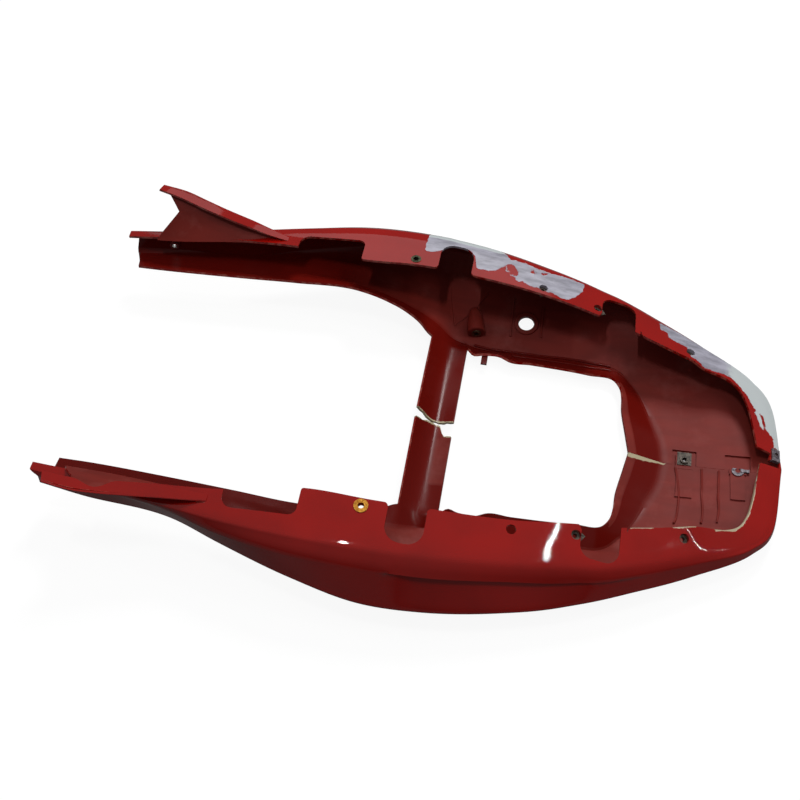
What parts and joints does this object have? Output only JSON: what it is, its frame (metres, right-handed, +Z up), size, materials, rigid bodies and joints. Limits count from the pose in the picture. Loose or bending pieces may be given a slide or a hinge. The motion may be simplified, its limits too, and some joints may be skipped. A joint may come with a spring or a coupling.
{
  "type": "seat cowl",
  "caption": "Motorcycle seat cowl in two mirrored red mouldings joined at a rear seam, lying upside down, with arms, fins, a framed opening and small metal fixings.",
  "frame": {"origin": "centre of the bounding box in plan, at the level of the floor that the deck rests on", "axes": "+X towards the tail, +Y towards the half with the lock hole, +Z up; the cowl lies upside down as pictured"},
  "size_m": [0.7636, 0.473, 0.1276],
  "materials": {
    "cowl_red": "gloss",
    "grommet_green": "dull",
    "grommet_yellow": "satin",
    "nut_steel": "dull",
    "clip_steel": "satin",
    "clip_grey": "dull",
    "insert_steel": "satin",
    "insert_silver": "satin"
  },
  "bodies": {
    "root": {"left_cowl_half": "cowl_red", "right_cowl_half": "cowl_red", "left_grommet": "grommet_green", "right_grommet": "grommet_yellow", "left_spring_nut_2": "nut_steel", "left_spring_nut_3": "nut_steel", "left_spring_nut_4": "nut_steel", "right_spring_nut_3": "nut_steel", "right_spring_nut_4": "nut_steel", "seam_clip_front": "clip_steel", "seam_clip_rear": "clip_grey", "tail_tab": "clip_grey", "boss_insert": "insert_steel", "arm_insert": "insert_silver"}
  },
  "joints": []
}
